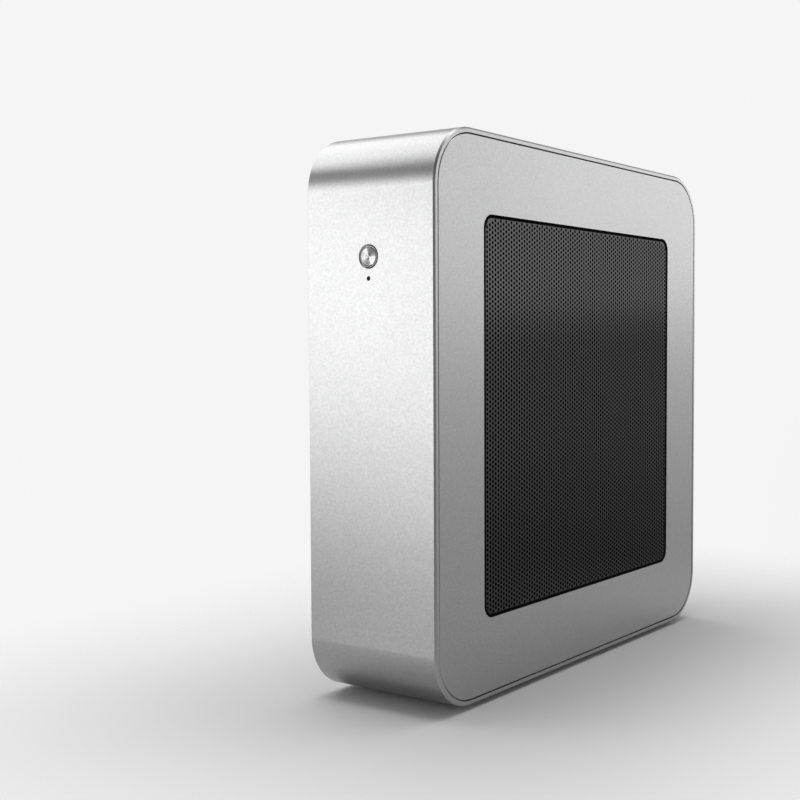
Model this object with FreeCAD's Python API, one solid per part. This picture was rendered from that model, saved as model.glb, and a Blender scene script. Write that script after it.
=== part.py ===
import FreeCAD, Part
import math
import os

from FreeCAD import Vector

# Slim computer case for a 170 mm board: an extruded aluminium ring with a flush panel on each side.
# +X is the vented side, -Y the front with the power button, +Y the rear, +Z up.
# The feet stand on Z = 0 and the case is centred on X and Y. All sizes are in millimetres.

# Extruded shell
CASE_WIDTH = 62.0
CASE_DEPTH = 220.0
CASE_HEIGHT = 220.0
CORNER_RADIUS = 23.0
WALL = 2.0
RIM_CHAMFER = 0.7
BOSS_RADIUS = 5.4
BOSS_ROOT = 1.0

# Rubber feet
FOOT_HEIGHT = 1.8
FOOT_RADIUS = 5.0
FOOT_SIDE_MARGIN = 10.5
FOOT_END_MARGIN = 35.0

# Flush side panels
PANEL_THICKNESS = 2.0
PANEL_SEAM = 0.4
PANEL_CHAMFER = 0.25
VENT_MARGIN = 31.5
VENT_RADIUS = 5.5

# Pressed and perforated grille, fixed behind the vented panel
GRILLE_SHEET = 1.0
GRILLE_FLANGE = 9.0
GRILLE_GAP = 0.8
GRILLE_SINK = 0.3
PERFORATION_PITCH = 15.2
PERFORATION_ACROSS_FLATS = 10.4
PERFORATION_BORDER = 2.0

# Bar magnets in the bosses and the steel keys of the vented panel that they hold
MAGNET_WIDTH = 7.0
MAGNET_HEIGHT = 4.0
MAGNET_DEPTH = 2.5
KEY_THICKNESS = 0.9
KEY_CLEARANCE = 0.2
KEY_GAP = 0.1

# Countersunk screws of the plain panel
SCREW_RADIUS = 1.45
SCREW_LENGTH = 10.0
SCREW_SOCKET_ACROSS_FLATS = 2.5
SCREW_SOCKET_DEPTH = 1.2
SCREW_POINT_ROOM = 1.0

# Board: standard hole pattern, standoffs and rear aperture
BOARD_SIDE = 170.0
BOARD_THICKNESS = 1.57
BOARD_LIFT = 18.0
BOARD_REAR_GAP = 1.2
HOLE_EDGE = 6.35
HOLE_ROW_SPACING = 157.48
FRONT_HOLE = 165.10
LOWER_REAR_HOLE = 10.16
UPPER_REAR_HOLE = 33.02
STANDOFF_HEIGHT = 6.35
STANDOFF_ACROSS_FLATS = 5.0
STANDOFF_BORE_RADIUS = 1.25
APERTURE_HEIGHT = 158.75
APERTURE_WIDTH = 44.45
APERTURE_BELOW_BOARD = 3.81
APERTURE_RADIUS = 1.0

# Power button, switch and light
BUTTON_DROP = 48.5
BUTTON_RADIUS = 4.0
BUTTON_CLEARANCE = 0.15
BEZEL_RADIUS = 4.75
BUTTON_EDGE = 0.2
BUTTON_FLANGE_LIP = 1.3
BUTTON_FLANGE_THICKNESS = 1.0
BUTTON_STOP_GAP = 0.1
BUTTON_STEM_RADIUS = 1.7
BUTTON_STEM_LENGTH = 1.5
BUTTON_TRAVEL = 0.8
PLUNGER_RADIUS = 1.5
PLUNGER_LENGTH = 2.8
PLUNGER_SHOW = 1.6
PLUNGER_CLEARANCE = 0.2
SWITCH_SIDE = 6.2
SWITCH_DEPTH = 3.5
SWITCH_CHAMFER = 0.5
LIGHT_DROP = 8.2
LIGHT_RADIUS = 0.85
LIGHT_SINK = 0.15
LIGHT_CLEARANCE = 0.05
LIGHT_GAP = 0.3
CHIP_WIDTH = 2.0
CHIP_HEIGHT = 1.25
CHIP_DEPTH = 1.1

# Small circuit board behind the front wall, in two guide rails of the extrusion
SWITCH_BOARD_THICKNESS = 1.6
SWITCH_BOARD_MARGIN = 3.6
SWITCH_BOARD_END_GAP = 0.3
RAIL_WALL = 1.5
RAIL_LIP = 1.2
HEADER_WIDTH = 9.4
HEADER_HEIGHT = 5.0
HEADER_DEPTH = 5.8
HEADER_WALL = 0.8
HEADER_FLOOR = 1.4
HEADER_PINS = 3
HEADER_PIN_PITCH = 2.5
HEADER_PIN_SIDE = 0.6
HEADER_PIN_LENGTH = 3.6

# Power inlet in the rear wall
INLET_SIDE_OFFSET = 8.0
INLET_RISE = 7.8
INLET_FLANGE_RADIUS = 5.4
INLET_FLANGE_THICKNESS = 1.0
INLET_BARREL_RADIUS = 4.0
INLET_LENGTH = 12.0
INLET_BORE_RADIUS = 2.8
INLET_BORE_DEPTH = 9.5
INLET_PIN_RADIUS = 1.0
INLET_PIN_SINK = 1.2
INLET_NUT_ACROSS_FLATS = 11.0
INLET_NUT_THICKNESS = 2.5
INLET_CLEARANCE = 0.1

# Sliding fit between fixed pieces and the holes that hold them
FIT = 0.05

ALONG_X = Vector(1, 0, 0)
ALONG_Y = Vector(0, 1, 0)
ALONG_Z = Vector(0, 0, 1)

# Faces and centres that the pieces share
HALF_WIDTH = CASE_WIDTH / 2
HALF_DEPTH = CASE_DEPTH / 2
BOTTOM = FOOT_HEIGHT
TOP = BOTTOM + CASE_HEIGHT
MIDDLE = BOTTOM + CASE_HEIGHT / 2
FRONT = -HALF_DEPTH
FRONT_INNER = FRONT + WALL
REAR = HALF_DEPTH
REAR_INNER = REAR - WALL
LEFT_SEAT = PANEL_THICKNESS - HALF_WIDTH
RIGHT_SEAT = HALF_WIDTH - PANEL_THICKNESS

BOSS_OFFSET = (CORNER_RADIUS - WALL - BOSS_RADIUS + BOSS_ROOT) / math.sqrt(2)
BOSS_REACH = HALF_DEPTH - CORNER_RADIUS + BOSS_OFFSET
BOSS_RISE = CASE_HEIGHT / 2 - CORNER_RADIUS + BOSS_OFFSET
BOSS_CENTRES = [
    (side * BOSS_REACH, MIDDLE + level * BOSS_RISE)
    for side in (-1, 1)
    for level in (-1, 1)
]

PANEL_MARGIN = WALL + PANEL_SEAM
SCREW_HEAD_RADIUS = SCREW_RADIUS + PANEL_THICKNESS
MAGNET_FACE = RIGHT_SEAT - KEY_THICKNESS - KEY_GAP

BOARD_LOW = BOTTOM + BOARD_LIFT
BOARD_BACK = REAR_INNER - BOARD_REAR_GAP
STANDOFF_TOP = LEFT_SEAT + STANDOFF_HEIGHT
LOWER_ROW = BOARD_LOW + HOLE_EDGE
UPPER_ROW = LOWER_ROW + HOLE_ROW_SPACING
STANDOFFS = {
    "lower_rear": (BOARD_BACK - LOWER_REAR_HOLE, LOWER_ROW),
    "lower_front": (BOARD_BACK - FRONT_HOLE, LOWER_ROW),
    "upper_rear": (BOARD_BACK - UPPER_REAR_HOLE, UPPER_ROW),
    "upper_front": (BOARD_BACK - FRONT_HOLE, UPPER_ROW),
}
APERTURE_LOW = BOARD_LOW + (BOARD_SIDE - APERTURE_HEIGHT) / 2
APERTURE_LEFT = STANDOFF_TOP + BOARD_THICKNESS - APERTURE_BELOW_BOARD

BUTTON_Z = TOP - BUTTON_DROP
BUTTON_FLANGE_RADIUS = BUTTON_RADIUS + BUTTON_FLANGE_LIP
BUTTON_FLANGE_START = WALL + BUTTON_STOP_GAP
BUTTON_FLANGE_END = BUTTON_FLANGE_START + BUTTON_FLANGE_THICKNESS
BUTTON_STEM_END = BUTTON_FLANGE_END + BUTTON_STEM_LENGTH
SWITCH_FRONT = FRONT + BUTTON_STEM_END + PLUNGER_SHOW
SWITCH_BOARD_FRONT = SWITCH_FRONT + SWITCH_DEPTH
SWITCH_BOARD_REAR = SWITCH_BOARD_FRONT + SWITCH_BOARD_THICKNESS
LIGHT_Z = BUTTON_Z - LIGHT_DROP
SWITCH_BOARD_LOW = LIGHT_Z - SWITCH_BOARD_MARGIN
SWITCH_BOARD_HIGH = BUTTON_Z + SWITCH_SIDE / 2 + SWITCH_BOARD_MARGIN
HEADER_Z = (SWITCH_BOARD_LOW + SWITCH_BOARD_HIGH) / 2

INLET_Z = APERTURE_LOW + APERTURE_HEIGHT + INLET_RISE


def edges_at_x(shape, x):
    """The edges of a shape that lie in the plane at x."""
    return [e for e in shape.Edges if all(abs(v.X - x) < 1e-6 for v in e.Vertexes)]


def rounded_plate(x, thickness, margin, radius):
    """A plate across X that follows the case outline, set in from it by a margin."""
    box = Part.makeBox(
        thickness,
        CASE_DEPTH - 2 * margin,
        CASE_HEIGHT - 2 * margin,
        Vector(x, margin - HALF_DEPTH, BOTTOM + margin),
    )
    corners = [e for e in box.Edges if abs(e.tangentAt(e.FirstParameter).x) > 0.9]
    return box.makeFillet(radius, corners)


def turned(origin, axis, side, outline):
    """A lathe-turned piece from a closed outline of (distance along axis, radius) points."""
    points = [origin + axis * along + side * radius for along, radius in outline]
    section = Part.Face(Part.makePolygon(points + points[:1]))
    return section.revolve(origin, axis, 360)


def hexagon_bar(origin, axis, side, across_flats, length):
    """A six-sided bar that starts at origin, with a corner towards side."""
    corner = across_flats / math.sqrt(3)
    up = axis.cross(side)
    points = []
    for k in range(7):
        turn = math.radians(60 * k)
        points.append(origin + side * (corner * math.cos(turn)) + up * (corner * math.sin(turn)))
    return Part.Face(Part.makePolygon(points)).extrude(axis * length)


def bar_across(x, length, y, z, width, height):
    """A bar along X of rectangular section, centred on y and z."""
    return Part.makeBox(length, width, height, Vector(x, y - width / 2, z - height / 2))


def make_shell():
    """Extruded ring with corner bosses and guide rails, then milled and drilled."""
    ring = rounded_plate(-HALF_WIDTH, CASE_WIDTH, 0, CORNER_RADIUS)
    rims = edges_at_x(ring, -HALF_WIDTH) + edges_at_x(ring, HALF_WIDTH)
    ring = ring.makeChamfer(RIM_CHAMFER, rims)
    ring = ring.cut(rounded_plate(-HALF_WIDTH, CASE_WIDTH, WALL, CORNER_RADIUS - WALL))
    added = []
    for y, z in BOSS_CENTRES:
        boss = Part.makeCylinder(BOSS_RADIUS, RIGHT_SEAT - LEFT_SEAT, Vector(LEFT_SEAT, y, z), ALONG_X)
        added.append(boss)
    added.append(guide_rail(SWITCH_BOARD_LOW, -1))
    added.append(guide_rail(SWITCH_BOARD_HIGH, 1))
    shell = ring.multiFuse(added).removeSplitter()
    return shell.cut(boss_holes() + front_holes() + rear_holes()).removeSplitter()


def guide_rail(edge, outward):
    """Grooved rail on the front wall that holds one edge of the small circuit board."""
    groove_front = SWITCH_BOARD_FRONT - FIT
    groove_rear = SWITCH_BOARD_REAR + FIT
    lip_front = groove_front - RAIL_WALL
    end = groove_rear + RAIL_WALL
    outline = [
        (FRONT_INNER, FIT),
        (lip_front, FIT),
        (lip_front, -RAIL_LIP),
        (groove_front, -RAIL_LIP),
        (groove_front, FIT),
        (groove_rear, FIT),
        (groove_rear, -RAIL_LIP),
        (end, -RAIL_LIP),
        (end, FIT + RAIL_WALL),
        (FRONT_INNER, FIT + RAIL_WALL),
    ]
    points = [Vector(LEFT_SEAT, y, edge + outward * rise) for y, rise in outline]
    section = Part.Face(Part.makePolygon(points + points[:1]))
    return section.extrude(ALONG_X * (RIGHT_SEAT - LEFT_SEAT))


def boss_holes():
    """Screw holes from the plain side and magnet pockets from the vented side."""
    holes = []
    screw_depth = SCREW_LENGTH - PANEL_THICKNESS + SCREW_POINT_ROOM
    pocket = MAGNET_FACE - MAGNET_DEPTH
    for y, z in BOSS_CENTRES:
        holes.append(Part.makeCylinder(SCREW_RADIUS + FIT, screw_depth, Vector(LEFT_SEAT, y, z), ALONG_X))
        width = MAGNET_WIDTH + 2 * FIT
        height = MAGNET_HEIGHT + 2 * FIT
        holes.append(bar_across(pocket, RIGHT_SEAT - pocket, y, z, width, height))
    return holes


def front_holes():
    """Bevelled button hole and light hole."""
    hole = BUTTON_RADIUS + BUTTON_CLEARANCE
    centre = Vector(0, FRONT, BUTTON_Z)
    return [
        Part.makeCylinder(hole, WALL, centre, ALONG_Y),
        Part.makeCone(BEZEL_RADIUS, hole, BEZEL_RADIUS - hole, centre, ALONG_Y),
        Part.makeCylinder(LIGHT_RADIUS + LIGHT_CLEARANCE, WALL, Vector(0, FRONT, LIGHT_Z), ALONG_Y),
    ]


def rear_holes():
    """Aperture for the board's own connectors, and the inlet's stepped hole with a spot face inside."""
    aperture = Part.makeBox(
        APERTURE_WIDTH, WALL, APERTURE_HEIGHT, Vector(APERTURE_LEFT, REAR_INNER, APERTURE_LOW)
    )
    corners = [e for e in aperture.Edges if abs(e.tangentAt(e.FirstParameter).y) > 0.9]
    aperture = aperture.makeFillet(APERTURE_RADIUS, corners)
    centre = Vector(INLET_SIDE_OFFSET, REAR, INLET_Z)
    barrel = Part.makeCylinder(INLET_BARREL_RADIUS + INLET_CLEARANCE, CORNER_RADIUS, centre, -ALONG_Y)
    flange = Part.makeCylinder(
        INLET_FLANGE_RADIUS + INLET_CLEARANCE, INLET_FLANGE_THICKNESS, centre, -ALONG_Y
    )
    nut_corner = INLET_NUT_ACROSS_FLATS / math.sqrt(3)
    seat = Vector(INLET_SIDE_OFFSET, REAR_INNER, INLET_Z)
    spot_face = Part.makeCylinder(nut_corner + INLET_CLEARANCE, CORNER_RADIUS - WALL, seat, -ALONG_Y)
    return [aperture, barrel, flange, spot_face]


def make_right_panel():
    """Vented panel: a flush plate with one large opening."""
    plate = rounded_plate(RIGHT_SEAT, PANEL_THICKNESS, PANEL_MARGIN, CORNER_RADIUS - PANEL_MARGIN)
    plate = plate.makeChamfer(PANEL_CHAMFER, edges_at_x(plate, HALF_WIDTH))
    return plate.cut(rounded_plate(RIGHT_SEAT, PANEL_THICKNESS, VENT_MARGIN, VENT_RADIUS))


def make_grille():
    """Pressed sheet: a flange bonded behind the panel and a raised, perforated field in its opening."""
    back = RIGHT_SEAT - GRILLE_SHEET
    face = HALF_WIDTH - GRILLE_SINK
    field_margin = VENT_MARGIN + GRILLE_GAP
    field_radius = VENT_RADIUS - GRILLE_GAP
    pocket_margin = field_margin + GRILLE_SHEET
    flange = rounded_plate(back, GRILLE_SHEET, VENT_MARGIN - GRILLE_FLANGE, VENT_RADIUS + GRILLE_FLANGE)
    field = rounded_plate(back, face - back, field_margin, field_radius)
    pocket = rounded_plate(back, face - back - GRILLE_SHEET, pocket_margin, field_radius - GRILLE_SHEET)
    pressed = flange.fuse(field).cut(pocket).removeSplitter()
    return pressed.cut(perforations(face, pocket_margin + PERFORATION_BORDER))


def perforations(face, margin):
    """Hexagonal holes in columns, every second column shifted by half a pitch."""
    tall = PERFORATION_ACROSS_FLATS
    wide = PERFORATION_ACROSS_FLATS * 2 / math.sqrt(3)
    columns = 1 + int((CASE_DEPTH - 2 * margin - wide) / PERFORATION_PITCH)
    rows = 1 + int((CASE_HEIGHT - 2 * margin - tall) / PERFORATION_PITCH)
    holes = []
    for column in range(columns):
        y = (column - (columns - 1) / 2) * PERFORATION_PITCH
        count = rows - column % 2
        for row in range(count):
            z = MIDDLE + (row - (count - 1) / 2) * PERFORATION_PITCH
            start = Vector(face, y, z)
            holes.append(hexagon_bar(start, -ALONG_X, ALONG_Y, tall, GRILLE_SHEET))
    return holes


def make_panel_keys():
    """Steel keys bonded behind the vented panel, which locate it in the magnet pockets."""
    width = MAGNET_WIDTH + 2 * (FIT - KEY_CLEARANCE)
    height = MAGNET_HEIGHT + 2 * (FIT - KEY_CLEARANCE)
    start = RIGHT_SEAT - KEY_THICKNESS
    return Part.makeCompound(
        [bar_across(start, KEY_THICKNESS, y, z, width, height) for y, z in BOSS_CENTRES]
    )


def make_panel_magnets():
    """Bar magnets bonded into the boss pockets."""
    start = MAGNET_FACE - MAGNET_DEPTH
    return Part.makeCompound(
        [bar_across(start, MAGNET_DEPTH, y, z, MAGNET_WIDTH, MAGNET_HEIGHT) for y, z in BOSS_CENTRES]
    )


def make_left_panel():
    """Plain panel, which also carries the board, countersunk at the corners."""
    plate = rounded_plate(-HALF_WIDTH, PANEL_THICKNESS, PANEL_MARGIN, CORNER_RADIUS - PANEL_MARGIN)
    plate = plate.makeChamfer(PANEL_CHAMFER, edges_at_x(plate, -HALF_WIDTH))
    head = SCREW_HEAD_RADIUS + FIT
    shank = SCREW_RADIUS + FIT
    sinks = []
    for y, z in BOSS_CENTRES:
        sinks.append(Part.makeCone(head, shank, PANEL_THICKNESS, Vector(-HALF_WIDTH, y, z), ALONG_X))
    return plate.cut(sinks)


def make_tray_screws():
    """Countersunk socket screws that hold the plain panel to the bosses."""
    outline = [
        (0, 0),
        (0, SCREW_HEAD_RADIUS),
        (PANEL_THICKNESS, SCREW_RADIUS),
        (SCREW_LENGTH, SCREW_RADIUS),
        (SCREW_LENGTH, 0),
    ]
    screws = []
    for y, z in BOSS_CENTRES:
        start = Vector(-HALF_WIDTH, y, z)
        socket = hexagon_bar(start, ALONG_X, ALONG_Y, SCREW_SOCKET_ACROSS_FLATS, SCREW_SOCKET_DEPTH)
        screws.append(turned(start, ALONG_X, ALONG_Y, outline).cut(socket))
    return Part.makeCompound(screws)


def make_standoff(y, z):
    """Hexagonal standoff clinched to the plain panel, with a tapped bore for a board screw."""
    foot = Vector(LEFT_SEAT, y, z)
    bar = hexagon_bar(foot, ALONG_X, ALONG_Y, STANDOFF_ACROSS_FLATS, STANDOFF_HEIGHT)
    return bar.cut(Part.makeCylinder(STANDOFF_BORE_RADIUS, STANDOFF_HEIGHT, foot, ALONG_X))


def make_button_cap():
    """Turned cap, flush with the front, with a stop flange and a stem behind."""
    outline = [
        (0, 0),
        (0, BUTTON_RADIUS - BUTTON_EDGE),
        (BUTTON_EDGE, BUTTON_RADIUS),
        (BUTTON_FLANGE_START, BUTTON_RADIUS),
        (BUTTON_FLANGE_START, BUTTON_FLANGE_RADIUS),
        (BUTTON_FLANGE_END, BUTTON_FLANGE_RADIUS),
        (BUTTON_FLANGE_END, BUTTON_STEM_RADIUS),
        (BUTTON_STEM_END, BUTTON_STEM_RADIUS),
        (BUTTON_STEM_END, 0),
    ]
    return turned(Vector(0, FRONT, BUTTON_Z), ALONG_Y, ALONG_X, outline)


def make_tact_plunger():
    """Plunger of the push switch, which the button's stem rests on."""
    start = Vector(0, FRONT + BUTTON_STEM_END, BUTTON_Z)
    return Part.makeCylinder(PLUNGER_RADIUS, PLUNGER_LENGTH, start, ALONG_Y)


def make_tact_switch():
    """Push switch housing with room for the plunger's travel."""
    half = SWITCH_SIDE / 2
    housing = Part.makeBox(
        SWITCH_SIDE, SWITCH_DEPTH, SWITCH_SIDE, Vector(-half, SWITCH_FRONT, BUTTON_Z - half)
    )
    corners = [e for e in housing.Edges if abs(e.tangentAt(e.FirstParameter).y) > 0.9]
    housing = housing.makeChamfer(SWITCH_CHAMFER, corners)
    depth = PLUNGER_LENGTH - PLUNGER_SHOW + BUTTON_TRAVEL + PLUNGER_CLEARANCE
    start = Vector(0, SWITCH_FRONT, BUTTON_Z)
    return housing.cut(Part.makeCylinder(PLUNGER_RADIUS + PLUNGER_CLEARANCE, depth, start, ALONG_Y))


def make_switch_board():
    """Small circuit board in the guide rails, kept from sliding out by the two side panels."""
    start = LEFT_SEAT + SWITCH_BOARD_END_GAP
    return Part.makeBox(
        RIGHT_SEAT - LEFT_SEAT - 2 * SWITCH_BOARD_END_GAP,
        SWITCH_BOARD_THICKNESS,
        SWITCH_BOARD_HIGH - SWITCH_BOARD_LOW,
        Vector(start, SWITCH_BOARD_FRONT, SWITCH_BOARD_LOW),
    )


def make_switch_header():
    """Open plug header on the back of the small board, for the lead to the main board."""
    corner = Vector(-HEADER_WIDTH / 2, SWITCH_BOARD_REAR, HEADER_Z - HEADER_HEIGHT / 2)
    block = Part.makeBox(HEADER_WIDTH, HEADER_DEPTH, HEADER_HEIGHT, corner)
    room = Part.makeBox(
        HEADER_WIDTH - 2 * HEADER_WALL,
        HEADER_DEPTH - HEADER_FLOOR,
        HEADER_HEIGHT - 2 * HEADER_WALL,
        corner + Vector(HEADER_WALL, HEADER_FLOOR, HEADER_WALL),
    )
    return block.cut(room)


def make_header_pins():
    """Square contact pins on the floor of the header."""
    half = HEADER_PIN_SIDE / 2
    floor = SWITCH_BOARD_REAR + HEADER_FLOOR
    pins = []
    for k in range(HEADER_PINS):
        x = (k - (HEADER_PINS - 1) / 2) * HEADER_PIN_PITCH
        corner = Vector(x - half, floor, HEADER_Z - half)
        pins.append(Part.makeBox(HEADER_PIN_SIDE, HEADER_PIN_LENGTH, HEADER_PIN_SIDE, corner))
    return Part.makeCompound(pins)


def make_light_chip():
    """Surface-mounted light on the small board, in line with the light pipe."""
    corner = Vector(-CHIP_WIDTH / 2, SWITCH_BOARD_FRONT - CHIP_DEPTH, LIGHT_Z - CHIP_HEIGHT / 2)
    return Part.makeBox(CHIP_WIDTH, CHIP_DEPTH, CHIP_HEIGHT, corner)


def make_light_pipe():
    """Smoky rod pressed into the light hole, which ends close to the light."""
    start = FRONT + LIGHT_SINK
    length = SWITCH_BOARD_FRONT - CHIP_DEPTH - LIGHT_GAP - start
    return Part.makeCylinder(LIGHT_RADIUS, length, Vector(0, start, LIGHT_Z), ALONG_Y)


def make_inlet_body():
    """Barrel of the power inlet with its flange let into the rear wall."""
    outline = [
        (0, INLET_BORE_RADIUS),
        (0, INLET_FLANGE_RADIUS),
        (INLET_FLANGE_THICKNESS, INLET_FLANGE_RADIUS),
        (INLET_FLANGE_THICKNESS, INLET_BARREL_RADIUS),
        (INLET_LENGTH, INLET_BARREL_RADIUS),
        (INLET_LENGTH, 0),
        (INLET_BORE_DEPTH, 0),
        (INLET_BORE_DEPTH, INLET_BORE_RADIUS),
    ]
    return turned(Vector(INLET_SIDE_OFFSET, REAR, INLET_Z), -ALONG_Y, ALONG_X, outline)


def make_inlet_pin():
    """Centre pin of the power inlet, which stands on the floor of the barrel's bore."""
    start = Vector(INLET_SIDE_OFFSET, REAR - INLET_PIN_SINK, INLET_Z)
    return Part.makeCylinder(INLET_PIN_RADIUS, INLET_BORE_DEPTH - INLET_PIN_SINK, start, -ALONG_Y)


def make_inlet_nut():
    """Nut on the barrel, tight against the inside of the rear wall."""
    start = Vector(INLET_SIDE_OFFSET, REAR_INNER, INLET_Z)
    bar = hexagon_bar(start, -ALONG_Y, ALONG_X, INLET_NUT_ACROSS_FLATS, INLET_NUT_THICKNESS)
    return bar.cut(Part.makeCylinder(INLET_BARREL_RADIUS + FIT, INLET_NUT_THICKNESS, start, -ALONG_Y))


def make_foot(x, y):
    """Rubber foot bonded under the shell."""
    return Part.makeCylinder(FOOT_RADIUS, FOOT_HEIGHT, Vector(x, y, 0), ALONG_Z)


nodes = {
    "shell": make_shell(),
    "left_panel": make_left_panel(),
    "tray_screws": make_tray_screws(),
    "right_panel": make_right_panel(),
    "grille": make_grille(),
    "panel_keys": make_panel_keys(),
    "panel_magnets": make_panel_magnets(),
    "button_cap": make_button_cap(),
    "tact_plunger": make_tact_plunger(),
    "tact_switch": make_tact_switch(),
    "switch_board": make_switch_board(),
    "switch_header": make_switch_header(),
    "header_pins": make_header_pins(),
    "light_chip": make_light_chip(),
    "light_pipe": make_light_pipe(),
    "inlet_body": make_inlet_body(),
    "inlet_pin": make_inlet_pin(),
    "inlet_nut": make_inlet_nut(),
}
for place, (hole_y, hole_z) in STANDOFFS.items():
    nodes["standoff_" + place] = make_standoff(hole_y, hole_z)

foot_x = HALF_WIDTH - FOOT_SIDE_MARGIN
foot_y = HALF_DEPTH - FOOT_END_MARGIN
for side_name, side in (("left", -1), ("right", 1)):
    for end_name, end in (("front", -1), ("rear", 1)):
        nodes[f"foot_{end_name}_{side_name}"] = make_foot(side * foot_x, end * foot_y)

os.makedirs("parts", exist_ok=True)
for name, shape in nodes.items():
    shape.exportStep(f"parts/{name}.step")
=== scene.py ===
import math
from functools import partial

import bmesh
import bpy
from mathutils import Matrix, Vector


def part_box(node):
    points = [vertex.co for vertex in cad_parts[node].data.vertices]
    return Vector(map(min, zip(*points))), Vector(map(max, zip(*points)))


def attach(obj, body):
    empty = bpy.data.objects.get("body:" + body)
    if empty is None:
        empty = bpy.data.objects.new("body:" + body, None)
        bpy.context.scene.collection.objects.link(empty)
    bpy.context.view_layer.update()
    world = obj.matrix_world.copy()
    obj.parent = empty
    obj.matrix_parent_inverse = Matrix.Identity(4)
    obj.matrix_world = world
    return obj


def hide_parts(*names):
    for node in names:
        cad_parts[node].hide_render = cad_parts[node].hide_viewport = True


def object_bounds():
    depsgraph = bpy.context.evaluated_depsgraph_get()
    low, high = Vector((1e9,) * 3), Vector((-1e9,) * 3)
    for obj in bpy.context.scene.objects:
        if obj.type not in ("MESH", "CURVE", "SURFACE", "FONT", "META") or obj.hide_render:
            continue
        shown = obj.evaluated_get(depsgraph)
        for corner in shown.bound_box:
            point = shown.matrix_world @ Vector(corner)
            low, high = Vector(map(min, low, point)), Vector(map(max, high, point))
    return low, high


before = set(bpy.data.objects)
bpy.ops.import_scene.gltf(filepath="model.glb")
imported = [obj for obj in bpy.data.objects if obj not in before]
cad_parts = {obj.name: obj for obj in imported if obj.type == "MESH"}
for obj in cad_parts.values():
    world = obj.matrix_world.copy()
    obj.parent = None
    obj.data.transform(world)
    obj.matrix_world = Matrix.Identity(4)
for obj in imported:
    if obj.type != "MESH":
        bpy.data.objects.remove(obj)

# Shell: one length of extruded aluminium that is the front, top, rear and bottom of the case.
# It is sawn to width, bevelled along both rims, drilled, bead-blasted and clear anodised.
MM = 0.001
cad_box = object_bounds()
JOIN_REACH = 0.001 * MM
SHARP_BEND = math.radians(25)


def add_node(tree, kind, inputs=None, **settings):
    """Adds a node, sets its fields, and fills its inputs with values or with links from other nodes."""
    node = tree.nodes.new(kind)
    for field, value in settings.items():
        setattr(node, field, value)
    for socket, value in (inputs or {}).items():
        if isinstance(value, bpy.types.NodeSocket):
            tree.links.new(value, node.inputs[socket])
        else:
            node.inputs[socket].default_value = value
    return node


def math_node(tree, operation, first, second=0.0, third=0.0):
    """One step of arithmetic on numbers; returns the socket of its result."""
    inputs = {0: first, 1: second, 2: third}
    return add_node(tree, "ShaderNodeMath", inputs, operation=operation).outputs[0]


def new_group(name, kind, inputs, outputs):
    """A node group with named sockets; returns the tree, its inputs by name and its output node."""
    tree = bpy.data.node_groups.new(name, kind)
    for socket, socket_type in inputs:
        tree.interface.new_socket(socket, in_out="INPUT", socket_type=socket_type)
    for socket, socket_type in outputs:
        tree.interface.new_socket(socket, in_out="OUTPUT", socket_type=socket_type)
    given = tree.nodes.new("NodeGroupInput").outputs
    result = tree.nodes.new("NodeGroupOutput")
    return tree, given, result


def make_grain_group():
    """Fine surface grain: a tone close to 1 and a height, from noise at the given grain size."""
    tree, given, result = new_group(
        "surface_grain",
        "ShaderNodeTree",
        [("Grain size", "NodeSocketFloat"), ("Contrast", "NodeSocketFloat")],
        [("Tone", "NodeSocketFloat"), ("Height", "NodeSocketFloat")],
    )
    place = add_node(tree, "ShaderNodeTexCoord").outputs["Object"]
    scale = math_node(tree, "DIVIDE", 1.0, given["Grain size"])
    noise = add_node(
        tree, "ShaderNodeTexNoise", {"Vector": place, "Scale": scale, "Detail": 3.0, "Roughness": 0.65}
    )
    centred = math_node(tree, "SUBTRACT", noise.outputs["Fac"], 0.5)
    swing = math_node(tree, "MULTIPLY", given["Contrast"], 2.0)
    tone = math_node(tree, "MULTIPLY_ADD", centred, swing, 1.0)
    tree.links.new(tone, result.inputs["Tone"])
    tree.links.new(noise.outputs["Fac"], result.inputs["Height"])
    return tree


def make_haze_group():
    """Broad, soft patches left by handling: a value that swings about zero."""
    tree, given, result = new_group(
        "handling_haze",
        "ShaderNodeTree",
        [("Patch size", "NodeSocketFloat"), ("Amount", "NodeSocketFloat")],
        [("Haze", "NodeSocketFloat")],
    )
    place = add_node(tree, "ShaderNodeTexCoord").outputs["Object"]
    scale = math_node(tree, "DIVIDE", 1.0, given["Patch size"])
    noise = add_node(tree, "ShaderNodeTexNoise", {"Vector": place, "Scale": scale, "Detail": 4.0})
    centred = math_node(tree, "SUBTRACT", noise.outputs["Fac"], 0.5)
    haze = math_node(tree, "MULTIPLY", centred, given["Amount"])
    tree.links.new(haze, result.inputs["Haze"])
    return tree


surface_grain = make_grain_group()
handling_haze = make_haze_group()


def new_material(name):
    """An empty finish; returns the material, its node tree and its shader."""
    material = bpy.data.materials.new(name)
    material.use_nodes = True
    tree = material.node_tree
    return material, tree, tree.nodes["Principled BSDF"]


def tinted(tree, colour, tone):
    """A colour times a tone that changes over the surface."""
    mixed = add_node(
        tree,
        "ShaderNodeMix",
        {"Factor": 1.0, 6: (*colour, 1.0), 7: tone},
        data_type="RGBA",
        blend_type="MULTIPLY",
    )
    return mixed.outputs[2]


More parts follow.
